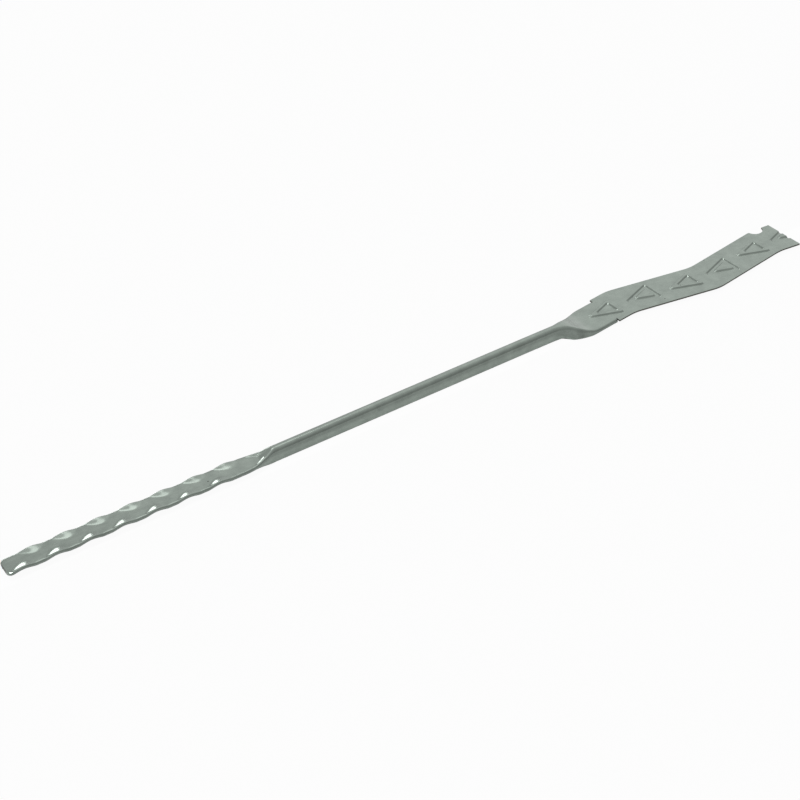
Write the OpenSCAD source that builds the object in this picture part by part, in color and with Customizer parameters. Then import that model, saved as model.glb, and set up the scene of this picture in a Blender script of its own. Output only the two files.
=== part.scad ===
// Masonry wall tie, pressed and folded from one strip of sheet steel.
// +X runs from the waved end to the plate, +Y is across, +Z is up.
// The origin is under the middle of the tie, on the surface that it lies on.

/* [Sheet] */
// Length of the whole tie
total_len = 275; // [250:1:320]
// Thickness of the sheet
sheet_t = 0.5; // [0.4:0.05:0.6]

/* [Waved end] */
// Width of the flattened end
strip_w = 6.7; // [5:0.1:7]
// Height of the flattened end's middle above the ground
strip_z = 2.15; // [1.2:0.05:2.6]
// Gap left between the two flattened layers
hem_gap = 0.1; // [0.06:0.02:0.2]
// Gap between the folded edges under the flattened end
strip_seam = 0.8; // [0.4:0.1:1.6]
// Corner radius of the tip, seen from above
tip_r = 1.6; // [1:0.1:2.4]
// How far the tip is cut on the slant, as a share of its width
tip_slant = 0.12; // [0:0.01:0.15]
// Length from the tip to the first scoop's crest, on the -Y edge
tip_lead = 4.2; // [3:0.1:6]
// Spacing of the scoops along each edge
wave_pitch = 9.85; // [8:0.05:12]
// Number of scoops along each edge
wave_count = 7; // [4:1:8]
// How far a scoop bends the edge up
wave_rise = 0.65; // [0.2:0.05:0.8]
// Length from the last scoop's crest to the ramp, where the strip starts to narrow
run_out = 3.8; // [3:0.1:8]
// Length over which the flattened end narrows to the channel
ramp_len = 11; // [8:0.5:16]
// Length from the ramp's start to where the underside starts down
foot_lead = 1.5; // [0:0.1:3]
// Length over which the underside comes down to the channel's
foot_drop = 8.5; // [6:0.5:14]
// Length from the ramp's start to where the middle of the top starts up
climb_lead = 5.4; // [4:0.1:7]
// Length over which the top climbs to the channel's
climb_len = 5; // [3:0.5:8]

/* [Channel] */
// Outer width of the channel
channel_w = 3; // [2.6:0.1:4]
// Outer height of the channel
channel_h = 4.3; // [3.6:0.1:5]
// Outer radius of the channel's upper bends
channel_r = 1.3; // [0.75:0.05:1.3]
// Outer radius of the channel's lower bends
channel_foot_r = 0.6; // [0.55:0.05:1]
// Gap between the edges turned in under the channel
channel_seam = 0.4; // [0.2:0.1:0.8]

/* [Neck] */
// Length over which the channel opens out into the plate
neck_len = 14.3; // [12:0.1:20]
// Length of the channel's top that stays level as the neck opens
neck_level = 2.3; // [1:0.1:4]
// Length over which the top then comes down to the plate
neck_drop = 10.5; // [8:0.5:14]
// Sideways shift of the opening neck, towards -Y
neck_shift = 0.7; // [0:0.1:1.5]
// How far the opening walls lean out, in degrees
neck_lean = 20; // [0:1:30]
// Length of the turned-down lips beside the plate's first triangle
lip_len = 7; // [5:0.5:12]
// Outer height of the turned-down lips
lip_h = 1; // [0.9:0.1:1.4]
// How far the lips are set in from the plate's edges
lip_set = 0.7; // [0.4:0.1:1.4]
// Outer bend radius of the lips
lip_r = 0.7; // [0.65:0.05:0.9]

/* [Plate] */
// Level of the plate's top above the ground
plate_top = 1.5; // [1.5:0.1:2]
// Width of the plate across the tie
plate_w = 13.5; // [12:0.1:16]
// Plain length from the lips' end to the first kink
plate_lead = 6.9; // [4:0.1:10]
// Length from the last kink to the plate's end
tail_len = 7.4; // [6:0.1:10]
// Sideways shift of the plate at the first kink, towards +Y
zig_first = 1.85; // [0:0.05:3]
// Sideways shift at the second kink, towards -Y
zig_second = 3.25; // [0:0.05:4]
// Sideways shift at the third kink, towards +Y
zig_third = 1.15; // [0:0.05:1.8]
// Sideways shift at the plate's end, towards +Y
zig_end = 0.2; // [0:0.1:1]
// Length over which a kink is rounded, to each side
kink_r = 2; // [0.5:0.5:3]
// Radius of the round notch in the plate's +Y edge
notch_r = 2.7; // [1.5:0.1:3]
// Distance of the notch's centre outside the edge
notch_out = 0.5; // [0:0.1:1.2]
// Distance of the notch's centre from the plate's end
notch_x = 5.5; // [4:0.1:7]

/* [Triangles] */
// Number of pressed triangles, the last one cut off by the plate's end
tri_count = 6; // [3:1:6]
// Spacing of the triangles, two to each run of the plate
tri_pitch = 14.75; // [13:0.05:16]
// Distance from the first kink to the next triangle's point
tri_lead = 2.5; // [2:0.1:3.5]
// Length of a triangle along the middle of its bead
tri_len = 8.9; // [7:0.1:9.5]
// Base of a triangle along the middle of its bead
tri_base = 6.4; // [5:0.1:7]
// Width of the bead
bead_w = 1.5; // [1.2:0.1:1.8]
// Height of the bead above the sheet, or depth below it
bead_h = 0.4; // [0.2:0.05:0.6]
// Corner radius along the outside of the bead, seen from above
corner_out = 0.55; // [0.4:0.05:1]
// Corner radius along the inside of the bead, seen from above
corner_in = 0.45; // [0.1:0.05:0.6]

/* [Hidden] */

// Places along the tie, measured from the tip
x_crest = tip_lead + wave_pitch / 2;
x_waved = tip_lead + wave_count * wave_pitch;
x_ramp = x_waved - wave_pitch / 2 + run_out;
x_narrow = x_ramp + ramp_len;
x_foot = x_ramp + foot_lead;
x_climb = x_ramp + climb_lead;
x_channel = max(x_narrow, x_foot + foot_drop, x_climb + climb_len);
x_kink3 = total_len - tail_len;
x_kink2 = x_kink3 - 2 * tri_pitch;
x_kink1 = x_kink2 - 2 * tri_pitch;
x_step = x_kink1 - plate_lead;
x_lip = x_step - lip_len;
x_flare = x_lip - neck_len;
x_half = (x_channel + x_flare) / 2;

// Places around a kink, as distances to each side
kink_steps = 3;
near_kink = [for (i = [-kink_steps:kink_steps]) kink_r * i / kink_steps];

// Middle of the plate's outline, which is where the origin lies across the tie
y_mid = (max(side(x_kink1), side(x_kink3)) + side(x_kink2)) / 2;

// Flattened height, and the short upright that joins its two bends
strip_h = 2 * sheet_t + hem_gap;
hem_flat = 0.4 * hem_gap;

// Length of a scoop as a share of the pitch, how it steepens, its slant towards the middle,
// and the share of the half width that stays flat
scoop_len = 0.8;
scoop_power = 1.3;
scoop_slant = 0.1;
scoop_in = 0.2;

// How fast the climb moves from the middle to the ramp's start at the edges, and how soon it ends there
climb_bow = 3;
climb_edge = 0.7;

// Length over which the neck's walls shorten to the lips
lip_ease = 4;

// Bend and edge at the foot of the lips, where nothing is turned in any more
foot_r = 0.06;
foot_len = 0.1;

// The neck's sheet reaches into the plate, a little inside the plate's own faces
root_len = 0.6;
root_squash = 0.15;
seat = 0.02;
x_seat = x_step + seat;
x_root = x_seat + root_len;
plate_mid = plate_top - sheet_t / 2;

// Shoulders and crown of a bead and of the groove behind it, as shares of their width and height
bead_shape = [[-0.42, 0.7], [-0.32, 1], [0.32, 1], [0.42, 0.7]];
groove_shape = [[-0.36, 0.35], [-0.28, 0.85], [-0.22, 1], [0.22, 1], [0.28, 0.85], [0.36, 0.35]];

// How much wider the rounded mouth of that groove is, as a share of the sheet's thickness
mouth_share = 0.6;

// Steps along each part of half a section: top, bend, wall, foot bend, foot
section_steps = [4, 3, 1, 2, 2];
wave_steps = 9;
ramp_steps = 10;
neck_steps = 12;
tip_steps = 4;
corner_steps = 4;

// A smooth change from 0 to 1 between two places
function ease(x, from, to) =
    let (k = min(1, max(0, (x - from) / (to - from)))) k * k * (3 - 2 * k);
function mix(a, b, k) = a + (b - a) * k;

// How far the section has changed to the channel, and to the opened neck
function ramped(x) = ease(x, x_ramp, x_narrow);
function flared(x) = ease(x, x_flare, x_lip);
function opened(x) = ease(x, x_flare, x_flare + neck_len / 2);

// Sideways place of the section's middle, first with sharp kinks and then with rounded ones
function zigzag(x) = lookup(x, [
    [x_flare, 0],
    [(x_flare + x_lip) / 2, -neck_shift],
    [x_kink1, zig_first],
    [x_kink2, -zig_second],
    [x_kink3, zig_third],
    [total_len, zig_end]
]);
function sum(list, i = 0) = i == len(list) ? 0 : list[i] + sum(list, i + 1);
function side(x) = sum([for (d = near_kink) zigzag(x + d)]) / len(near_kink);

// Outer half width, with the tip's corners rounded
function rounded_tip(x) =
    x < tip_r ? tip_r - sqrt(tip_r * tip_r - (tip_r - x) * (tip_r - x)) : 0;
function half_width(x) =
    x < x_half ? mix(strip_w, channel_w, ramped(x)) / 2 - rounded_tip(x)
    : mix(channel_w / 2, plate_w / 2 - lip_set, flared(x));

// Outer levels of the section
function climbed(x, across = 0) =
    let (outward = pow(across, climb_bow))
    ease(x, mix(x_climb, x_ramp, outward), x_climb + climb_len * mix(1, climb_edge, outward));
function dropped(x) = ease(x, x_flare + neck_level, x_flare + neck_level + neck_drop);
function top(x) =
    x < x_half ? mix(strip_z + strip_h / 2, channel_h, climbed(x))
    : mix(channel_h, plate_top, dropped(x));
function bottom(x) =
    x < x_half ? mix(strip_z - strip_h / 2, 0, ease(x, x_foot, x_foot + foot_drop))
    : mix(0, plate_top - lip_h, ease(x, x_lip - lip_ease, x_lip));

// How far the walls lean out, most of all in the middle of the neck
function lean(x) = 4 * neck_lean * opened(x) * (1 - flared(x)) * flared(x);

// Outer radius of the upper and lower bend, and middle radius and angle of the lower bend
function bend_r(x) =
    x < x_half ? min(channel_r, (top(x) - bottom(x) - hem_flat) / 2) : mix(channel_r, lip_r, flared(x));
function lower_r(x) = min(channel_foot_r, bend_r(x));
function foot_bend_r(x) = mix(lower_r(x) - sheet_t / 2, foot_r, opened(x));
function foot_angle(x) = 90 * (1 - opened(x));

// Length of the edge turned in under the section, up to the seam
function foot(x) =
    let (
        flat = half_width(x) - lower_r(x),
        seam = min(mix(strip_seam, channel_seam, ramped(x)), flat)
    )
    mix(flat - seam / 2, foot_len, opened(x));

// Points and headings along an arc of the given length and turn, or a straight if it has none
function arc(start, heading, length, turn, steps) = [
    for (i = [1:steps])
        let (
            now = heading + turn * i / steps,
            r = abs(turn) < 0.01 ? 0 : length * 180 / PI / turn,
            step = abs(turn) < 0.01 ? length * i / steps * [cos(heading), sin(heading)]
                : r * [sin(now) - sin(heading), cos(heading) - cos(now)]
        )
        [start + step, now]
];
function last(list) = list[len(list) - 1];

// Foot bend and turned-in edge that follow a wall with the given heading
function foot_section(x, start, heading) =
    let (
        turn = foot_angle(x),
        curl = arc(start, heading, foot_bend_r(x) * PI / 2, -turn, section_steps[3]),
        edge = arc(last(curl)[0], heading - turn, foot(x), 0, section_steps[4])
    )
    concat(curl, edge);

// Middle of the sheet from the centre of the top out to the seam, as points and headings
function half_section(x) =
    let (
        r = bend_r(x) - sheet_t / 2,
        fold = 90 - lean(x),
        web = arc([0, top(x) - sheet_t / 2], 0, half_width(x) - bend_r(x), 0, section_steps[0]),
        bend = arc(last(web)[0], 0, r * PI * fold / 180, -fold, section_steps[1]),
        foot_end = last(foot_section(x, [0, 0], -fold)),
        foot_depth = sheet_t / 2 * abs(cos(foot_end[1])) - foot_end[0].y,
        wall = (last(bend)[0].y - bottom(x) - foot_depth) / sin(fold),
        side_wall = arc(last(bend)[0], -fold, wall, 0, section_steps[2])
    )
    concat(web, bend, side_wall, foot_section(x, last(side_wall)[0], -fold));

// Rise of the scooped edges, where the -Y edge is half a pitch ahead of the +Y edge
function wave(x, y) =
    let (
        across = min(1, abs(y) / half_width(x)),
        outward = (across - scoop_in) / (1 - scoop_in),
        turns = (x - x_crest) / wave_pitch + (y < 0 ? 0.5 : 0),
        off_crest = turns - round(turns) - scoop_slant * (1 - across),
        inside = abs(turns - (wave_count - 1) / 2) < wave_count / 2 && abs(off_crest) < scoop_len / 2
    )
    inside ? wave_rise * pow(max(0, cos(180 * off_crest / scoop_len) + outward - 1), scoop_power) : 0;

// Rise of the top towards its edges, where the climb to the channel starts sooner
function bowed(x, p) =
    let (
        across = min(1, abs(p.x) / half_width(x)),
        gain = climbed(x, across) - climbed(x),
        share = (p.y - bottom(x)) / (top(x) - bottom(x))
    )
    (channel_h - strip_z - strip_h / 2) * gain * share;

// Height of a point, shaped at one end of the tie and drawn into the plate at the other
function level(x, p) =
    x < x_half ? p.y + wave(x, p.x) + bowed(x, p)
    : x > x_seat ? mix(plate_mid, p.y, root_squash) : p.y;

// Lengthwise shift of the section's points where the tip is cut on the slant
function slant(x, y) = tip_slant * (strip_w / 2 - tip_r + y) * (1 - ease(x, 0, tip_lead));

// One face of the sheet, from seam to seam over the top, on the outer (1) or inner (-1) side
function sheet_face(x, way) =
    let (
        half = half_section(x),
        offset = way * (sheet_t / 2 - (x < x_seat ? 0 : seat)),
        out = [for (p = half) p[0] + offset * [-sin(p[1]), cos(p[1])]],
        crown = [0, top(x) - sheet_t / 2 + offset],
        n = len(out)
    )
    [
        for (i = [0:2 * n])
            let (p = i < n ? [-out[n - 1 - i].x, out[n - 1 - i].y] : i == n ? crown : out[i - n - 1])
            [x + slant(x, p.x), side(x) + p.x, level(x, p)]
    ];

// Stations along the tie, close together where the section changes
stations = concat(
    [for (i = [0:tip_steps - 1]) tip_lead * pow(i / tip_steps, 2)],
    [for (i = [0:wave_count * wave_steps - 1]) tip_lead + wave_pitch * i / wave_steps],
    [for (i = [0:ramp_steps]) mix(x_waved, x_channel, i / ramp_steps)],
    [for (i = [0:neck_steps]) mix(x_flare, x_lip, i / neck_steps)],
    [x_seat, x_root]
);

// Flattened waves, channel and neck, lofted as one folded sheet
module folded_bar() {
    outer = [for (x = stations) sheet_face(x, 1)];
    inner = [for (x = stations) sheet_face(x, -1)];
    n = len(outer[0]);
    ring = 2 * n;
    count = len(stations);
    points = [
        for (i = [0:count - 1])
            for (j = [0:ring - 1])
                j < n ? outer[i][j] : inner[i][ring - 1 - j]
    ];
    skin = [
        for (i = [0:count - 2])
            for (j = [0:ring - 1])
                let (a = i * ring + j, b = i * ring + (j + 1) % ring)
                each [[a, b, b + ring], [a, b + ring, a + ring]]
    ];
    tip_cap = [
        for (j = [0:n - 2])
            let (a = j, b = j + 1, c = ring - 2 - j, d = ring - 1 - j)
            each [[d, c, b], [d, b, a]]
    ];
    last_ring = (count - 1) * ring;
    plate_cap = [for (t = tip_cap) [last_ring + t[2], last_ring + t[1], last_ring + t[0]]];
    polyhedron(points, concat(skin, tip_cap, plate_cap), convexity = 10);
}

// Zigzag outline of the plate with its notch
module plate_outline() {
    kinks = [x_kink1, x_kink2, x_kink3];
    places = [x_step, for (x = kinks) for (d = near_kink) x + d, total_len];
    far_edge = [for (x = places) [x, side(x) + plate_w / 2]];
    near_edge = [for (i = [len(places) - 1:-1:0]) [places[i], side(places[i]) - plate_w / 2]];
    notch_at = total_len - notch_x;
    difference() {
        polygon(concat(far_edge, near_edge));
        translate([notch_at, side(notch_at) + plate_w / 2 + notch_out])
            circle(notch_r, $fn = 48);
    }
}

// Rounded triangle at a distance outwards from the middle of the bead
function triangle_loop(out) =
    let (
        half_base = tri_base / 2,
        slope = sqrt(tri_len * tri_len + half_base * half_base),
        in_r = tri_len * half_base / (half_base + slope),
        centre = [tri_len - in_r, 0],
        corners = [[0, 0], [tri_len, -half_base], [tri_len, half_base]],
        r = mix(corner_in, corner_out, 0.5 + out / bead_w),
        base_turn = 90 + atan(half_base / tri_len)
    )
    [
        for (i = [0:2])
            let (
                at = centre + (corners[i] - centre) * (in_r + out - r) / in_r,
                turn = i == 0 ? 360 - 2 * base_turn : base_turn,
                middle = atan2(corners[i].y - centre.y, corners[i].x - centre.x)
            )
            for (s = [0:corner_steps])
                let (angle = middle + turn * (s / corner_steps - 0.5))
                at + r * [cos(angle), sin(angle)]
    ];

// Triangular ring with the given profile of [distance outwards, height] pairs
module triangle_ring(profile) {
    loops = [for (p = profile) triangle_loop(p[0])];
    n = len(profile);
    m = len(loops[0]);
    points = [for (i = [0:n - 1]) for (q = loops[i]) [q.x, q.y, profile[i][1]]];
    faces = [
        for (i = [0:n - 1])
            for (c = [0:m - 1])
                let (
                    a = m * i + c,
                    b = m * i + (c + 1) % m,
                    d = m * ((i + 1) % n) + c,
                    e = m * ((i + 1) % n) + (c + 1) % m
                )
                each [[a, e, d], [a, b, e]]
    ];
    polyhedron(points, faces, convexity = 6);
}

// Profile of a bead or groove, rooted below its base line
function rib(shape, width, root) = [
    [-width / 2 - root, -root],
    for (s = shape) [s[0] * width, s[1] * bead_h],
    [width / 2 + root, -root]
];

// Every second triangle on one face of the plate, raised for a ridge or cut for a groove
module triangles(first, shape, width, height, face_up) {
    root = sheet_t / 4;
    for (i = [first:2:tri_count - 1]) {
        x = x_kink1 + tri_lead + (i - 1) * tri_pitch;
        intersection() {
            translate([x, side(x + tri_len / 2), height])
                mirror([0, 0, face_up ? 0 : 1])
                    triangle_ring(rib(shape, width, root));
            translate([x_lip - tri_len, -plate_w, -plate_top])
                cube([total_len - x_lip + tri_len, 2 * plate_w, 4 * plate_top]);
        }
    }
}

module wall_tie() {
    plate_bottom = plate_top - sheet_t;
    groove_w = bead_w + mouth_share * sheet_t;
    color([0.58, 0.62, 0.59])
        translate([-total_len / 2, -y_mid, 0])
            union() {
                difference() {
                    union() {
                        folded_bar();
                        translate([0, 0, plate_bottom])
                            linear_extrude(sheet_t) plate_outline();
                    }
                    triangles(0, groove_shape, groove_w, plate_bottom, true);
                    triangles(1, groove_shape, groove_w, plate_top, false);
                }
                triangles(0, bead_shape, bead_w, plate_top, true);
                triangles(1, bead_shape, bead_w, plate_bottom, false);
            }
}

wall_tie();
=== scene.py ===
from math import atan, atan2, cos, hypot, pi, radians, sin, sqrt, tan

import bmesh
import bpy
from mathutils import Matrix, Vector


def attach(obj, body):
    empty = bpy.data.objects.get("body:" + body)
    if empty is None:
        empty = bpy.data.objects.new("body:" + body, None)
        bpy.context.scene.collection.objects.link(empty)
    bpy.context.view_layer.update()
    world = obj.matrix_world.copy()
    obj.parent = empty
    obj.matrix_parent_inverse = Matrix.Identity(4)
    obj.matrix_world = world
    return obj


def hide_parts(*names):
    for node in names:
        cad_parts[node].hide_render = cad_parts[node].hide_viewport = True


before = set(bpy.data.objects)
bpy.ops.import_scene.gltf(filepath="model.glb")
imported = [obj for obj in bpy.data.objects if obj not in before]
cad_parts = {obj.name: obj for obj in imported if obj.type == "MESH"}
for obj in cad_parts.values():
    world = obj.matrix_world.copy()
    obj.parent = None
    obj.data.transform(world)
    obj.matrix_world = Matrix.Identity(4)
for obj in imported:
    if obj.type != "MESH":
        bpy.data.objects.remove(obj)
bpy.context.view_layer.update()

MM = 0.001

# Sizes in millimetres, along the tie from its waved tip, with the main forms' as in the part's source
TOTAL_LEN = 275
SHEET_T = 0.5

# Flattened end
STRIP_W = 6.7
STRIP_Z = 2.15
HEM_GAP = 0.1
STRIP_SEAM = 0.8
TIP_R = 1.6
TIP_LEAD = 4.2
WAVE_PITCH = 9.85
WAVE_COUNT = 7
WAVE_RISE = 0.65
RUN_OUT = 3.8

# Ramp
RAMP_LEN = 11
FOOT_LEAD = 1.5
FOOT_DROP = 8.5
CLIMB_LEAD = 5.4
CLIMB_LEN = 5

# Channel
CHANNEL_W = 3
CHANNEL_H = 4.3
CHANNEL_R = 1.3
CHANNEL_FOOT_R = 0.6
CHANNEL_SEAM = 0.4

# Neck and lips
NECK_LEN = 14.3
NECK_LEVEL = 2.3
NECK_DROP = 10.5
NECK_SHIFT = 0.7
LIP_LEN = 7
LIP_H = 1
LIP_SET = 0.7
LIP_R = 0.7
LIP_EASE = 4
FOOT_R = 0.06
FOOT_LEN = 0.1
SLIT = 0.2

# Plate
PLATE_TOP = 1.5
PLATE_W = 13.5
PLATE_LEAD = 6.9
TAIL_LEN = 7.4
ZIG_FIRST = 1.85
ZIG_SECOND = 3.25
ZIG_THIRD = 1.15
ZIG_END = 0.2
KINK_R = 2
NOTCH_R = 2.7
NOTCH_OUT = 0.5
NOTCH_X = 5.5
CUT_SPARE = 7

# Triangles
TRI_COUNT = 6
TRI_PITCH = 14.75
TRI_LEAD = 2.5
TRI_LEN = 8.9
TRI_BASE = 6.4
BEAD_W = 1.5
BEAD_H = 0.4
BEAD_RIM = 0.25
CORNER_OUT = 0.55
CORNER_IN = 0.45
RIDGE_FOOT_R = 0.12
RIDGE_CROWN_R = 0.25
GROOVE_WIDER = 0.3
GROOVE_FOOT_R = 0.35
GROOVE_CROWN_R = 0.2

# Worn cut edges
EDGE_R = 0.06

# Angles in degrees
NECK_LEAN = 20
BEAD_SLOPE = 54
EDGE_ANGLE = 50

# Shares, slopes and powers
TIP_SLANT = 0.12
TIP_SEAM = 0.1
HEM_FLAT_SHARE = 0.4
SCOOP_LEN = 0.8
SCOOP_POWER = 1.3
SCOOP_SLANT = 0.1
SCOOP_IN = 0.2
CLIMB_BOW = 3
CLIMB_EDGE = 0.7

# Steps along the section, rows along the bar, and steps of the kinks, notch, corners, sides and beads
WEB_STEPS, BEND_STEPS, WALL_STEPS, CURL_STEPS, EDGE_STEPS = 9, 6, 4, 5, 4
TIP_ROWS, WAVE_ROWS, RAMP_ROWS, CHANNEL_ROWS, NECK_ROWS, LIP_ROWS = 12, 22, 40, 10, 60, 14
KINK_STEPS = 3
NOTCH_STEPS = 24
CORNER_STEPS = 8
SIDE_STEPS = 6
BEAD_FOOT_STEPS = 4
BEAD_CROWN_STEPS = 6

# Tolerances: turns in radians, lengths in millimetres and the tilt of an upright face's normal
STRAIGHT = 0.0001
CUT_WITHIN = 0.0001
MERGE_WITHIN = 0.005
UPRIGHT = 0.3

# Places along the tie
X_CREST = TIP_LEAD + WAVE_PITCH / 2
X_WAVED = TIP_LEAD + WAVE_COUNT * WAVE_PITCH
X_RAMP = X_WAVED - WAVE_PITCH / 2 + RUN_OUT
X_NARROW = X_RAMP + RAMP_LEN
X_FOOT = X_RAMP + FOOT_LEAD
X_CLIMB = X_RAMP + CLIMB_LEAD
X_CHANNEL = max(X_NARROW, X_FOOT + FOOT_DROP, X_CLIMB + CLIMB_LEN)
X_KINK3 = TOTAL_LEN - TAIL_LEN
X_KINK2 = X_KINK3 - 2 * TRI_PITCH
X_KINK1 = X_KINK2 - 2 * TRI_PITCH
X_STEP = X_KINK1 - PLATE_LEAD
X_LIP = X_STEP - LIP_LEN
X_FLARE = X_LIP - NECK_LEN
X_HALF = (X_CHANNEL + X_FLARE) / 2
X_FLAT = X_FLARE + NECK_LEVEL + NECK_DROP
X_PAST = TOTAL_LEN + CUT_SPARE

STRIP_H = 2 * SHEET_T + HEM_GAP
HEM_FLAT = HEM_FLAT_SHARE * HEM_GAP
PLATE_MID = PLATE_TOP - SHEET_T / 2
HALF_T = SHEET_T / 2


def ease(x, start, stop):
    """Goes softly from 0 at the start to 1 at the stop."""
    k = min(1, max(0, (x - start) / (stop - start)))
    return k * k * (3 - 2 * k)


def mix(a, b, k):
    return a + (b - a) * k


def spread(start, stop, steps):
    """Even steps from the start, without the stop."""
    return [mix(start, stop, i / steps) for i in range(steps)]


def ramped(x):
    """How far the flattened end has narrowed to the channel."""
    return ease(x, X_RAMP, X_NARROW)


def flared(x):
    """How far the channel has widened to the lips."""
    return ease(x, X_FLARE, X_LIP)


def opened(x):
    """How far the edges turned in under the channel have opened, over the first half of the neck."""
    return ease(x, X_FLARE, X_FLARE + NECK_LEN / 2)


# Sideways place of the section's middle at the neck, at each kink and at the end
ZIGZAG = [
    (X_FLARE, 0),
    ((X_FLARE + X_LIP) / 2, -NECK_SHIFT),
    (X_KINK1, ZIG_FIRST),
    (X_KINK2, -ZIG_SECOND),
    (X_KINK3, ZIG_THIRD),
    (TOTAL_LEN, ZIG_END),
]
NEAR_KINK = [KINK_R * i / KINK_STEPS for i in range(-KINK_STEPS, KINK_STEPS + 1)]


def zigzag(x):
    """Sideways place of the section's middle, with sharp kinks."""
    if x <= ZIGZAG[0][0]:
        return ZIGZAG[0][1]
    for (x0, y0), (x1, y1) in zip(ZIGZAG, ZIGZAG[1:]):
        if x <= x1:
            return mix(y0, y1, (x - x0) / (x1 - x0))
    return ZIGZAG[-1][1]


def side(x):
    """Sideways place of the section's middle, with rounded kinks."""
    return sum(zigzag(x + d) for d in NEAR_KINK) / len(NEAR_KINK)


Y_MID = (max(side(X_KINK1), side(X_KINK3)) + side(X_KINK2)) / 2


def placed(x, y, z):
    """A point of the tie in the shared frame, in metres."""
    return Vector((x - TOTAL_LEN / 2, y - Y_MID, z)) * MM


def half_width(x):
    """Half of the section's outer width, rounded off at the tip."""
    if x >= X_HALF:
        return mix(CHANNEL_W / 2, PLATE_W / 2 - LIP_SET, flared(x))
    tip = TIP_R - sqrt(TIP_R ** 2 - (TIP_R - x) ** 2) if x < TIP_R else 0
    return mix(STRIP_W, CHANNEL_W, ramped(x)) / 2 - tip


def climbed(x, across=0):
    """How far the top has climbed to the channel's, which starts sooner towards the edges."""
    outward = across ** CLIMB_BOW
    start = mix(X_CLIMB, X_RAMP, outward)
    return ease(x, start, X_CLIMB + CLIMB_LEN * mix(1, CLIMB_EDGE, outward))


def top(x):
    """Height of the middle of the section's top."""
    if x < X_HALF:
        return mix(STRIP_Z + STRIP_H / 2, CHANNEL_H, climbed(x))
    return mix(CHANNEL_H, PLATE_TOP, ease(x, X_FLARE + NECK_LEVEL, X_FLAT))


def bottom(x):
    """Height of the section's lowest point, before the waves lift it."""
    if x < X_HALF:
        return mix(STRIP_Z - STRIP_H / 2, 0, ease(x, X_FOOT, X_FOOT + FOOT_DROP))
    return mix(0, PLATE_TOP - LIP_H, ease(x, X_LIP - LIP_EASE, X_LIP))


def lean(x):
    """Outward lean of the walls in radians, which is NECK_LEAN halfway along the neck."""
    return radians(4 * NECK_LEAN * opened(x) * (1 - flared(x)) * flared(x))


def bend_r(x):
    """Outer radius of the bends between the top and the walls."""
    if x < X_HALF:
        return min(CHANNEL_R, (top(x) - bottom(x) - HEM_FLAT) / 2)
    return mix(CHANNEL_R, LIP_R, flared(x))


def foot(x):
    """Length of the edge that is turned in under the section, up to the seam."""
    flat = half_width(x) - min(CHANNEL_FOOT_R, bend_r(x))
    seam = min(mix(STRIP_SEAM, CHANNEL_SEAM, ramped(x)), flat) * mix(TIP_SEAM, 1, ease(x, 0, TIP_LEAD))
    return mix(flat - seam / 2, FOOT_LEN, opened(x))


def arc(start, heading, length, turn, steps):
    """Points along an arc of the given length and turn, or along a straight if it has none."""
    points = []
    for i in range(1, steps + 1):
        now = heading + turn * i / steps
        if abs(turn) < STRAIGHT:
            step = length * i / steps * Vector((cos(heading), sin(heading)))
        else:
            step = length / turn * Vector((sin(now) - sin(heading), cos(heading) - cos(now)))
        points.append(start + step)
    return points


def foot_section(x, start, heading):
    """The curl at the foot of a wall and the edge past it, with the edge's heading."""
    turn = pi / 2 * (1 - opened(x))
    r = mix(min(CHANNEL_FOOT_R, bend_r(x)) - HALF_T, FOOT_R, opened(x))
    curl = arc(start, heading, r * pi / 2, -turn, CURL_STEPS)
    return curl + arc(curl[-1], heading - turn, foot(x), 0, EDGE_STEPS), heading - turn


def half_section(x):
    """Middle of the sheet from the centre of the top out to the seam."""
    fold = pi / 2 - lean(x)
    web = arc(Vector((0, top(x) - HALF_T)), 0, half_width(x) - bend_r(x), 0, WEB_STEPS)
    bend = arc(web[-1], 0, (bend_r(x) - HALF_T) * fold, -fold, BEND_STEPS)
    trial, last_heading = foot_section(x, Vector((0, 0)), -fold)
    foot_depth = HALF_T * abs(cos(last_heading)) - trial[-1].y
    wall_len = (bend[-1].y - bottom(x) - foot_depth) / sin(fold)
    wall = arc(bend[-1], -fold, wall_len, 0, WALL_STEPS)
    return web + bend + wall + foot_section(x, wall[-1], -fold)[0]


def wave(x, y):
    """Rise of the scooped edges, where the -Y edge is half a pitch ahead of the +Y edge."""
    across = min(1, abs(y) / half_width(x))
    turns = (x - X_CREST) / WAVE_PITCH + (0.5 if y < 0 else 0)
    off_crest = turns - round(turns) - SCOOP_SLANT * (1 - across)
    if abs(turns - (WAVE_COUNT - 1) / 2) >= WAVE_COUNT / 2 or abs(off_crest) >= SCOOP_LEN / 2:
        return 0
    outward = (across - SCOOP_IN) / (1 - SCOOP_IN)
    return WAVE_RISE * max(0, cos(pi * off_crest / SCOOP_LEN) + outward - 1) ** SCOOP_POWER


def bowed(x, p):
    """Rise of the top towards its edges, where the climb to the channel starts sooner."""
    across = min(1, abs(p.x) / half_width(x))
    gain = climbed(x, across) - climbed(x)
    share = (p.y - bottom(x)) / (top(x) - bottom(x))
    return (CHANNEL_H - STRIP_Z - STRIP_H / 2) * gain * share


def slant(x, y):
    """Lengthwise shift of the section's points where the tip is cut on the slant."""
    return TIP_SLANT * (STRIP_W / 2 - TIP_R + y) * (1 - ease(x, 0, TIP_LEAD))


def section(x):
    """Middle of the sheet from seam to seam over the top, as points in the shared frame."""
    half = half_section(x)
    across = [Vector((-p.x, p.y)) for p in reversed(half)]
    across += [Vector((0, top(x) - HALF_T))] + half
    if x < X_HALF:
        across = [Vector((p.x, p.y + wave(x, p.x) + bowed(x, p))) for p in across]
    return [placed(x + slant(x, p.x), side(x) + p.x, p.y) for p in across]


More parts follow.
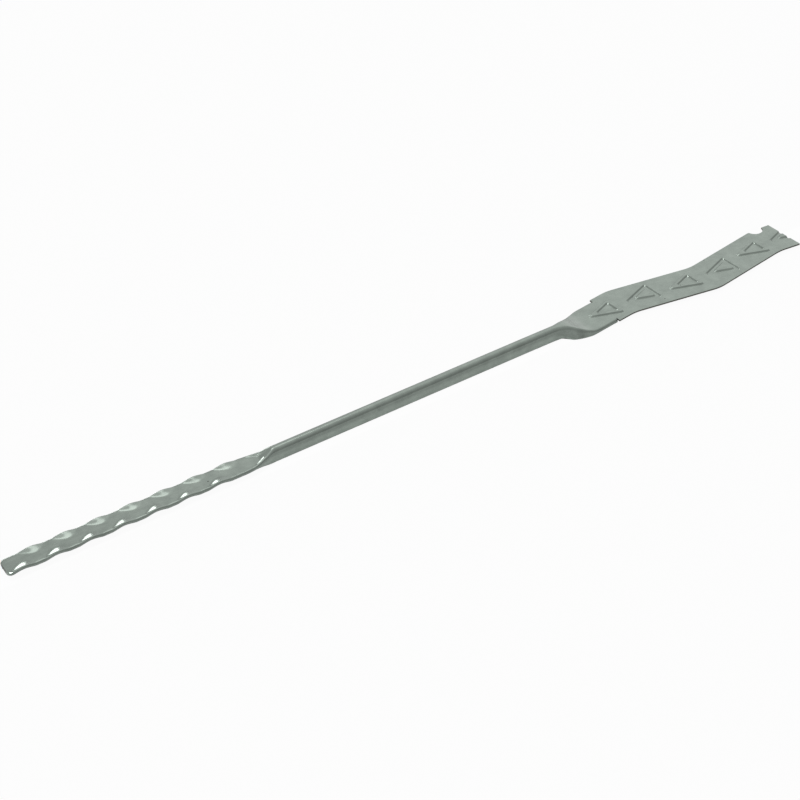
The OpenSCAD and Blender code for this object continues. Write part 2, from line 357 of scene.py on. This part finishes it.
# Columns across the folded bar and rows along it
HALF_STEPS = WEB_STEPS + BEND_STEPS + WALL_STEPS + CURL_STEPS + EDGE_STEPS
COLUMNS = 2 * HALF_STEPS + 1
ROWS = [TIP_LEAD * (i / TIP_ROWS) ** 2 for i in range(TIP_ROWS)]
ROWS += spread(TIP_LEAD, X_WAVED, WAVE_COUNT * WAVE_ROWS)
ROWS += spread(X_WAVED, X_CHANNEL, RAMP_ROWS)
ROWS += spread(X_CHANNEL, X_FLARE, CHANNEL_ROWS)
ROWS += spread(X_FLARE, X_FLAT, NECK_ROWS)
FLAT_ROW = len(ROWS)
ROWS += spread(X_FLAT, X_STEP - SLIT, LIP_ROWS) + [X_STEP - SLIT]
LAST_ROW = len(ROWS) - 1


def mapped_grid(bm, rows, columns, place):
    """A flat grid whose corners are moved to place(row, column)."""
    made = bmesh.ops.create_grid(bm, x_segments=rows - 1, y_segments=columns - 1, size=1)
    table = {}
    for v in made["verts"]:
        key = round((v.co.x + 1) / 2 * (rows - 1)), round((v.co.y + 1) / 2 * (columns - 1))
        table[key] = v
    for key, v in table.items():
        v.co = place(*key)
    return table


# Triangle along the middle of the bead, with its point towards the waved tip
HALF_BASE = TRI_BASE / 2
IN_R = TRI_LEN * HALF_BASE / (HALF_BASE + hypot(TRI_LEN, HALF_BASE))
TRI_CENTRE = Vector((TRI_LEN - IN_R, 0))
TRI_CORNERS = [Vector((0, 0)), Vector((TRI_LEN, -HALF_BASE)), Vector((TRI_LEN, HALF_BASE))]
BASE_TURN = pi / 2 + atan(HALF_BASE / TRI_LEN)
LOOP = len(TRI_CORNERS) * (CORNER_STEPS + SIDE_STEPS)
EDGE_OUT = BEAD_W / 2 + BEAD_RIM


def triangle_place(number):
    """Where a triangle's point lies along and across the tie. The first lies before the first kink."""
    x = X_KINK1 + TRI_LEAD + (number - 1) * TRI_PITCH
    return x, side(x + TRI_LEN / 2)


def triangle_loop(out):
    """Points round a rounded triangle, at a distance outwards from the middle of the bead."""
    r = mix(CORNER_IN, CORNER_OUT, min(1, max(0, 0.5 + out / BEAD_W)))
    arcs = []
    for i, corner in enumerate(TRI_CORNERS):
        at = TRI_CENTRE + (corner - TRI_CENTRE) * ((IN_R + out - r) / IN_R)
        turn = 2 * pi - 2 * BASE_TURN if i == 0 else BASE_TURN
        middle = pi if i == 0 else atan2(corner.y, corner.x - TRI_CENTRE.x)
        angles = [middle + turn * (s / CORNER_STEPS - 0.5) for s in range(CORNER_STEPS + 1)]
        arcs.append([at + r * Vector((cos(a), sin(a))) for a in angles])
    points = []
    for i, here in enumerate(arcs):
        onward = arcs[(i + 1) % len(arcs)][0]
        points += here[:-1] + [here[-1].lerp(onward, s / SIDE_STEPS) for s in range(SIDE_STEPS)]
    return points


def bead_profile(width, foot_r, crown_r):
    """A bead's profile from the opening's edge inwards, as distances from its middle and heights."""
    slope = radians(BEAD_SLOPE)
    rise = arc(Vector((0, 0)), 0, foot_r * slope, slope, BEAD_FOOT_STEPS)
    crown = arc(Vector((0, 0)), slope, crown_r * slope, -slope, BEAD_CROWN_STEPS)
    wall_rise = BEAD_H - rise[-1].y - crown[-1].y
    wall = Vector((wall_rise / tan(slope), wall_rise))
    points = [Vector((0, 0))] + rise + [rise[-1] + wall + p for p in crown]
    half = [(width / 2 - p.x, p.y) for p in points]
    return [(EDGE_OUT, 0)] + half + [(-d, z) for d, z in reversed(half)]


RIDGE = bead_profile(BEAD_W, RIDGE_FOOT_R, RIDGE_CROWN_R)
GROOVE = bead_profile(BEAD_W + GROOVE_WIDER, GROOVE_FOOT_R, GROOVE_CROWN_R)


def plate_outline():
    """Edge of the plate from the +Y lip round to the -Y lip."""
    reach = PLATE_W / 2
    kinks = [x + d for x in (X_KINK1, X_KINK2, X_KINK3) for d in NEAR_KINK]
    lip_in = half_width(X_STEP) - bend_r(X_STEP)
    centre = Vector((TOTAL_LEN - NOTCH_X, side(TOTAL_LEN - NOTCH_X) + reach + NOTCH_OUT))
    half_angle = atan2(sqrt(NOTCH_R ** 2 - NOTCH_OUT ** 2), NOTCH_OUT)
    notch = []
    for i in range(NOTCH_STEPS + 1):
        angle = -pi / 2 + half_angle * (2 * i / NOTCH_STEPS - 1)
        notch.append((centre.x + NOTCH_R * cos(angle), centre.y + NOTCH_R * sin(angle)))
    before = [x for x in kinks if x < centre.x - NOTCH_R]
    far = [(x, side(x) + reach) for x in [X_STEP] + before]
    near = [(x, side(x) - reach) for x in [X_PAST, TOTAL_LEN] + kinks[::-1] + [X_STEP]]
    start = [(X_STEP, side(X_STEP) + lip_in)]
    end = [(X_STEP, side(X_STEP) - lip_in)]
    return start + far + notch + [(X_PAST, side(X_PAST) + reach)] + near + end


def folded_sheet():
    """Middle of the sheet: the folded bar, and the plate with an opening for each triangle."""
    bm = bmesh.new()
    sections = [section(x) for x in ROWS]
    table = mapped_grid(bm, len(ROWS), COLUMNS, lambda row, column: sections[row][column])
    low, high = HALF_STEPS - WEB_STEPS, HALF_STEPS + WEB_STEPS
    inner = [table[row, c] for row in range(FLAT_ROW + 1, LAST_ROW + 1) for c in range(low + 1, high)]
    bmesh.ops.delete(bm, geom=inner, context="VERTS")
    rim = [table[LAST_ROW, high]]
    rim += [bm.verts.new(placed(x, y, PLATE_MID)) for x, y in plate_outline()]
    rim.append(table[LAST_ROW, low])
    edges = [bm.edges.new(pair) for pair in zip(rim, rim[1:])]
    loop = [table[row, low] for row in range(LAST_ROW, FLAT_ROW, -1)]
    loop += [table[FLAT_ROW, c] for c in range(low, high + 1)]
    loop += [table[row, high] for row in range(FLAT_ROW + 1, LAST_ROW + 1)]
    edges += [bm.edges.get(pair) or bm.edges.new(pair) for pair in zip(loop, loop[1:])]
    for number in range(TRI_COUNT):
        x, y = triangle_place(number)
        ring = bmesh.ops.create_circle(bm, segments=LOOP, radius=1, cap_ends=False)["verts"]
        for v, p in zip(ring, triangle_loop(EDGE_OUT)):
            v.co = placed(x + p.x, y + p.y, PLATE_MID)
        edges += [e for e in bm.edges if e.verts[0] in ring and e.verts[1] in ring]
    bmesh.ops.triangle_fill(bm, edges=edges, use_beauty=True, normal=(0, 0, 1))
    bmesh.ops.recalc_face_normals(bm, faces=bm.faces)
    return bm


def as_object(name, bm):
    mesh = bpy.data.meshes.new(name)
    bm.to_mesh(mesh)
    bm.free()
    obj = bpy.data.objects.new(name, mesh)
    bpy.context.scene.collection.objects.link(obj)
    return obj


CUT_EDGE = "cut_edge"


def thickened(bm):
    """The sheet given its thickness to both sides. Its rim comes last, and is marked as cut."""
    two_sides = 2 * len(bm.faces)
    blank = as_object("blank", bm)
    solid = blank.modifiers.new("thickness", "SOLIDIFY")
    solid.thickness = SHEET_T * MM
    solid.offset = 0
    solid.use_even_offset = True
    graph = bpy.context.evaluated_depsgraph_get()
    mesh = bpy.data.meshes.new_from_object(blank.evaluated_get(graph))
    bpy.data.objects.remove(blank)
    thick = bmesh.new()
    thick.from_mesh(mesh)
    bpy.data.meshes.remove(mesh)
    cut = thick.faces.layers.float.new(CUT_EDGE)
    thick.faces.ensure_lookup_table()
    for face in thick.faces[two_sides:]:
        face[cut] = 1
    return thick


def spot(place):
    """A place on the plate, to a hundredth of a millimetre."""
    return round(place.x / MM, 2), round(place.y / MM, 2)


def clear_openings(bm):
    """Takes away the walls that the thickness put round the triangles' openings."""
    rims = set()
    for number in range(TRI_COUNT):
        x, y = triangle_place(number)
        rims.update(spot(placed(x + p.x, y + p.y, 0)) for p in triangle_loop(EDGE_OUT))
    upright = [f for f in bm.faces if abs(f.normal.z) < UPRIGHT]
    walls = [f for f in upright if all(spot(v.co) in rims for v in f.verts)]
    bmesh.ops.delete(bm, geom=walls, context="FACES")


def press_face(bm, number, profile, level, way):
    """One face of a pressed triangle: its ring bead and the flat island inside it."""
    x, y = triangle_place(number)
    loops = [triangle_loop(out) for out, _ in profile]

    def place(row, column):
        p = loops[row][column % LOOP]
        return placed(x + p.x, y + p.y, level + way * profile[row][1])

    table = mapped_grid(bm, len(profile), LOOP + 1, place)
    island = [table[len(profile) - 1, c] for c in range(LOOP)]
    bm.faces.new(island)


def press_triangles(bm):
    """Fills the openings with triangles that are raised and sunk by turns."""
    for number in range(TRI_COUNT):
        raised = number % 2 == 0
        way = 1 if raised else -1
        press_face(bm, number, RIDGE if raised else GROOVE, PLATE_TOP, way)
        press_face(bm, number, GROOVE if raised else RIDGE, PLATE_TOP - SHEET_T, way)
    on_plate = [v for v in bm.verts if v.co.x > placed(X_FLAT, 0, 0).x]
    bmesh.ops.remove_doubles(bm, verts=on_plate, dist=MERGE_WITHIN * MM)


def cut_end(bm):
    """Cuts the plate off square, through the last triangle, and marks the closed end as cut."""
    along = Vector((1, 0, 0))
    bmesh.ops.bisect_plane(
        bm,
        geom=bm.verts[:] + bm.edges[:] + bm.faces[:],
        dist=CUT_WITHIN * MM,
        plane_co=placed(TOTAL_LEN, 0, 0),
        plane_no=along,
        clear_outer=True,
    )
    rim = [e for e in bm.edges if e.is_boundary]
    filled = bmesh.ops.triangle_fill(bm, edges=rim, use_beauty=True, normal=along)["geom"]
    cut = bm.faces.layers.float[CUT_EDGE]
    for face in filled:
        if isinstance(face, bmesh.types.BMFace):
            face[cut] = 1


def trim_tip(bm):
    """Moves what stands out past the slanted tip back to it."""
    tip = placed(0, TIP_R - STRIP_W / 2, 0)
    for v in bm.verts:
        v.co.x = max(v.co.x, tip.x + TIP_SLANT * max(0, v.co.y - tip.y))


def tie_mesh():
    """The whole tie, folded, pressed and cut."""
    bm = thickened(folded_sheet())
    clear_openings(bm)
    press_triangles(bm)
    cut_end(bm)
    trim_tip(bm)
    bmesh.ops.recalc_face_normals(bm, faces=bm.faces)
    for face in bm.faces:
        face.smooth = True
    return bm


def wear_edges(obj):
    """Breaks the sharp cut edges and keeps the flat faces flat in the light."""
    worn = obj.modifiers.new("worn_edges", "BEVEL")
    worn.width = EDGE_R * MM
    worn.segments = 2
    worn.limit_method = "ANGLE"
    worn.angle_limit = radians(EDGE_ANGLE)
    shading = obj.modifiers.new("shading", "WEIGHTED_NORMAL")
    shading.weight = 100
    shading.keep_sharp = True


def node(tree, kind, **values):
    made = tree.nodes.new(kind)
    for name, value in values.items():
        setattr(made, name, value)
    return made


def preset(made, **values):
    """Sets a node's unlinked inputs, whose names are given with _ for a space."""
    for name, value in values.items():
        made.inputs[name.replace("_", " ")].default_value = value
    return made


def ramp(tree, stops):
    """A colour ramp with stops given as positions and colours."""
    made = node(tree, "ShaderNodeValToRGB")
    elements = made.color_ramp.elements
    for i, (position, colour) in enumerate(stops):
        stop = elements[i] if i < len(elements) else elements.new(1)
        stop.position = position
        stop.color = (*colour, 1)
    return made


# Steel, with patterns by the metre, the grain's depth and the pits' size in millimetres
STEEL_TONES = [(0.4, (0.27, 0.31, 0.28)), (0.9, (0.35, 0.4, 0.36))]
GRAIN_PER_M = (70, 2000, 2000)
GRAIN_DETAIL = 3
GRAIN_SHARE = 0.3
GRAIN_DEPTH = 0.0015
GRAIN_LOW, GRAIN_HIGH = 0.3, 0.7
ROUGH_LOW, ROUGH_HIGH = 0.14, 0.21
CLOUDS_PER_M = 320
CLOUD_DETAIL = 4
CLOUD_ROUGHNESS = 0.6
PITS_PER_M = 60
PIT_R = 0.25
PIT_CORE = 0.5
PIT_COLOUR = (0.05, 0.055, 0.05, 1)
LEVEL_POWER = 8
CUT_COLOUR = (0.16, 0.165, 0.145, 1)
CUT_ROUGHER = 0.2


def rolling_grain(tree, place):
    """Noise that is drawn out along the tie."""
    rolled = preset(node(tree, "ShaderNodeMapping"), Scale=GRAIN_PER_M)
    grain = preset(node(tree, "ShaderNodeTexNoise"), Scale=1, Detail=GRAIN_DETAIL)
    tree.links.new(place, rolled.inputs["Vector"])
    tree.links.new(rolled.outputs["Vector"], grain.inputs["Vector"])
    return grain.outputs["Fac"]


def cloudy_tone(tree, place, grain):
    """The steel's colour, with soft cloudy patches and a little of the grain."""
    cloud = preset(
        node(tree, "ShaderNodeTexNoise"),
        Scale=CLOUDS_PER_M,
        Detail=CLOUD_DETAIL,
        Roughness=CLOUD_ROUGHNESS,
    )
    clouded = node(tree, "ShaderNodeMath", operation="MULTIPLY_ADD")
    clouded.inputs[1].default_value = GRAIN_SHARE
    tone = ramp(tree, STEEL_TONES)
    tree.links.new(place, cloud.inputs["Vector"])
    tree.links.new(grain, clouded.inputs[0])
    tree.links.new(cloud.outputs["Fac"], clouded.inputs[2])
    tree.links.new(clouded.outputs[0], tone.inputs["Fac"])
    return tone.outputs["Color"]


def few_pits(tree, place):
    """Mask of a few small pits, on the faces that look up or down."""
    spots = preset(node(tree, "ShaderNodeTexVoronoi", voronoi_dimensions="2D"), Scale=PITS_PER_M)
    pitted = preset(
        node(tree, "ShaderNodeMapRange", interpolation_type="SMOOTHSTEP"),
        From_Min=PIT_CORE * PIT_R * MM * PITS_PER_M,
        From_Max=PIT_R * MM * PITS_PER_M,
        To_Min=1,
        To_Max=0,
    )
    faced = node(tree, "ShaderNodeNewGeometry")
    upward = node(tree, "ShaderNodeSeparateXYZ")
    level = node(tree, "ShaderNodeMath", operation="POWER")
    level.inputs[1].default_value = LEVEL_POWER
    shown = node(tree, "ShaderNodeMath", operation="MULTIPLY")
    tree.links.new(place, spots.inputs["Vector"])
    tree.links.new(spots.outputs["Distance"], pitted.inputs["Value"])
    tree.links.new(faced.outputs["Normal"], upward.inputs["Vector"])
    tree.links.new(upward.outputs["Z"], level.inputs[0])
    tree.links.new(pitted.outputs["Result"], shown.inputs[0])
    tree.links.new(level.outputs[0], shown.inputs[1])
    return shown.outputs[0]


def tinted(tree, under, mask, colour):
    """A colour that takes another's place where the mask is 1."""
    mixed = node(tree, "ShaderNodeMix", data_type="RGBA")
    mixed.inputs["B"].default_value = colour
    tree.links.new(mask, mixed.inputs["Factor"])
    tree.links.new(under, mixed.inputs["A"])
    return mixed.outputs["Result"]


def pressed_steel():
    """Bright cloudy steel with a fine rolling grain, a few dark pits and duller cut edges."""
    material = bpy.data.materials.new("pressed_steel")
    material.use_nodes = True
    tree = material.node_tree
    shader = preset(tree.nodes["Principled BSDF"], Metallic=1)
    place = node(tree, "ShaderNodeTexCoord").outputs["Object"]
    cut = node(tree, "ShaderNodeAttribute", attribute_name=CUT_EDGE).outputs["Fac"]
    grain = rolling_grain(tree, place)

    pitted = tinted(tree, cloudy_tone(tree, place, grain), few_pits(tree, place), PIT_COLOUR)
    tree.links.new(tinted(tree, pitted, cut, CUT_COLOUR), shader.inputs["Base Color"])

    dulled = preset(
        node(tree, "ShaderNodeMapRange"),
        From_Min=GRAIN_LOW,
        From_Max=GRAIN_HIGH,
        To_Min=ROUGH_LOW,
        To_Max=ROUGH_HIGH,
    )
    torn = node(tree, "ShaderNodeMath", operation="MULTIPLY_ADD")
    torn.inputs[1].default_value = CUT_ROUGHER
    tree.links.new(grain, dulled.inputs["Value"])
    tree.links.new(cut, torn.inputs[0])
    tree.links.new(dulled.outputs["Result"], torn.inputs[2])
    tree.links.new(torn.outputs[0], shader.inputs["Roughness"])

    ridges = preset(node(tree, "ShaderNodeBump"), Distance=GRAIN_DEPTH * MM)
    tree.links.new(grain, ridges.inputs["Height"])
    tree.links.new(ridges.outputs["Normal"], shader.inputs["Normal"])
    return material


tie = as_object("tie_sheet", tie_mesh())
wear_edges(tie)
tie.data.materials.append(pressed_steel())
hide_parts("wall_tie")
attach(tie, "root")

# Camera at the photograph's angle, with its place in millimetres
PICTURE_RIGHT = (0.80024, -0.59967, 0)
PICTURE_DOWN = (-0.34452, -0.45975, -0.81850)
CAMERA_PLACE = (-327.62, -420.10, 370.83)
SENSOR_W = 36
LENS = 103.5
CLIP_START = 0.01


def photo_camera():
    """A camera that shows the tie as the photograph does."""
    right = Vector(PICTURE_RIGHT).normalized()
    down = Vector(PICTURE_DOWN).normalized()
    forward = right.cross(down)
    data = bpy.data.cameras.new("camera")
    data.sensor_width = SENSOR_W
    data.lens = LENS
    data.clip_start = CLIP_START
    camera = bpy.data.objects.new("camera", data)
    turn = Matrix((right, -down, -forward)).transposed().to_4x4()
    camera.matrix_world = Matrix.Translation(Vector(CAMERA_PLACE) * MM) @ turn
    bpy.context.scene.collection.objects.link(camera)
    return camera


bpy.context.scene.camera = photo_camera()
bpy.context.scene.view_settings.view_transform = "Standard"

# Floor, in metres, and the millimetres to each side of the tie at which its painted pool of light
# fades to its grey
FLOOR_REACH = 3
FLOOR_Z = -0.02 * MM
WHITE_SEEN = 0.95
WHITE_MIRRORED = 0.05
PAINTED_LIGHT_WITHIN = 3
PAINTED_LIGHT_GONE_BEYOND = 4.2
PAINTED_LIGHT_GREY = 0.74
DULL_GREY = 0.52


def floor_grey_with_painted_light(tree):
    """A grey with painted light: paler close beside the tie, which the steel's wall mirrors as a
    painted reflection.
    """
    place = node(tree, "ShaderNodeTexCoord")
    split = node(tree, "ShaderNodeSeparateXYZ")
    aside = node(tree, "ShaderNodeMath", operation="ABSOLUTE")
    # Painted pool of light: the floor's grey is paler within a few millimetres of the tie, and the
    # steel's wall mirrors it.
    shade = preset(
        node(tree, "ShaderNodeMapRange"),
        From_Min=PAINTED_LIGHT_WITHIN * MM,
        From_Max=PAINTED_LIGHT_GONE_BEYOND * MM,
        To_Min=PAINTED_LIGHT_GREY,
        To_Max=DULL_GREY,
    )
    tree.links.new(place.outputs["Object"], split.inputs["Vector"])
    tree.links.new(split.outputs["Y"], aside.inputs[0])
    tree.links.new(aside.outputs[0], shade.inputs["Value"])
    return shade.outputs["Result"]


def floor_material():
    """White to the camera, with a faint shadow, and grey where the steel mirrors it, with a painted
    pool of light beside the tie.
    """
    material = bpy.data.materials.new("floor_white")
    material.use_nodes = True
    tree = material.node_tree
    tree.nodes.clear()
    path = node(tree, "ShaderNodeLightPath")
    mirrored = node(tree, "ShaderNodeMath", operation="MULTIPLY")
    mirrored.inputs[1].default_value = WHITE_MIRRORED
    white_share = node(tree, "ShaderNodeMath", operation="MULTIPLY_ADD")
    white_share.inputs[1].default_value = WHITE_SEEN
    white = node(tree, "ShaderNodeEmission")
    lit = node(tree, "ShaderNodeBsdfDiffuse")
    both = node(tree, "ShaderNodeMixShader")
    out = node(tree, "ShaderNodeOutputMaterial")
    tree.links.new(floor_grey_with_painted_light(tree), lit.inputs["Color"])
    tree.links.new(path.outputs["Is Glossy Ray"], mirrored.inputs[0])
    tree.links.new(path.outputs["Is Camera Ray"], white_share.inputs[0])
    tree.links.new(mirrored.outputs[0], white_share.inputs[2])
    tree.links.new(white_share.outputs[0], both.inputs["Fac"])
    tree.links.new(lit.outputs[0], both.inputs[1])
    tree.links.new(white.outputs[0], both.inputs[2])
    tree.links.new(both.outputs[0], out.inputs["Surface"])
    return material


floor_bm = bmesh.new()
bmesh.ops.create_grid(floor_bm, x_segments=1, y_segments=1, size=FLOOR_REACH)
floor = as_object("floor", floor_bm)
floor.location.z = FLOOR_Z
floor.data.materials.append(floor_material())

# Light from all round, with its strength from behind the tie (-1) to its front (1)
FRONT = Vector((0.55, -0.8, 0)).normalized()
SHADES = [
    (-1, 0.7),
    (-0.45, 0.85),
    (-0.28, 1.18),
    (-0.1, 1.2),
    (0.23, 0.9),
    (0.6, 0.72),
    (0.9, 0.52),
    (1, 0.5),
]


def studio():
    """A world that is white to the camera and softly shaded from back to front for all else."""
    world = bpy.data.worlds.new("studio")
    world.use_nodes = True
    sky = world.node_tree
    sky.nodes.clear()
    path = node(sky, "ShaderNodeLightPath")
    around = node(sky, "ShaderNodeTexCoord")
    facing = node(sky, "ShaderNodeVectorMath", operation="DOT_PRODUCT")
    facing.inputs[1].default_value = FRONT
    half_turn = preset(node(sky, "ShaderNodeMapRange"), From_Min=-1)
    shade = ramp(sky, [((toward_front + 1) / 2, (grey, grey, grey)) for toward_front, grey in SHADES])
    level = preset(node(sky, "ShaderNodeMix", data_type="FLOAT"), B=1)
    backdrop = node(sky, "ShaderNodeBackground")
    out = node(sky, "ShaderNodeOutputWorld")
    sky.links.new(around.outputs["Generated"], facing.inputs[0])
    sky.links.new(facing.outputs["Value"], half_turn.inputs["Value"])
    sky.links.new(half_turn.outputs["Result"], shade.inputs["Fac"])
    sky.links.new(path.outputs["Is Camera Ray"], level.inputs["Factor"])
    sky.links.new(shade.outputs["Color"], level.inputs["A"])
    sky.links.new(level.outputs["Result"], backdrop.inputs["Strength"])
    sky.links.new(backdrop.outputs[0], out.inputs["Surface"])
    return world


bpy.context.scene.world = studio()


def softbox(name, aim, direction, distance, width, height, radiance):
    """A flat lamp that faces a place of the tie from a direction, with its sizes in metres."""
    data = bpy.data.lights.new(name, "AREA")
    data.shape = "RECTANGLE"
    data.size = width
    data.size_y = height
    data.energy = radiance * pi * width * height
    lamp = bpy.data.objects.new(name, data)
    toward = Vector(direction).normalized()
    lamp.location = aim + toward * distance
    lamp.rotation_euler = toward.to_track_quat("Z", "Y").to_euler()
    bpy.context.scene.collection.objects.link(lamp)


WAVES = placed(40, 0, 2)
PLATE = placed(230, 0, 2)
softbox("back_softbox", WAVES, (0.22, 0.96, 0.175), distance=3, width=1, height=0.8, radiance=3.8)
softbox("top_lamp", PLATE, (-0.42, -0.07, 0.905), distance=2.5, width=0.5, height=0.5, radiance=30)
softbox("high_softbox", WAVES, (0.32, 0.44, 0.84), distance=0.9, width=0.3, height=0.3, radiance=1)
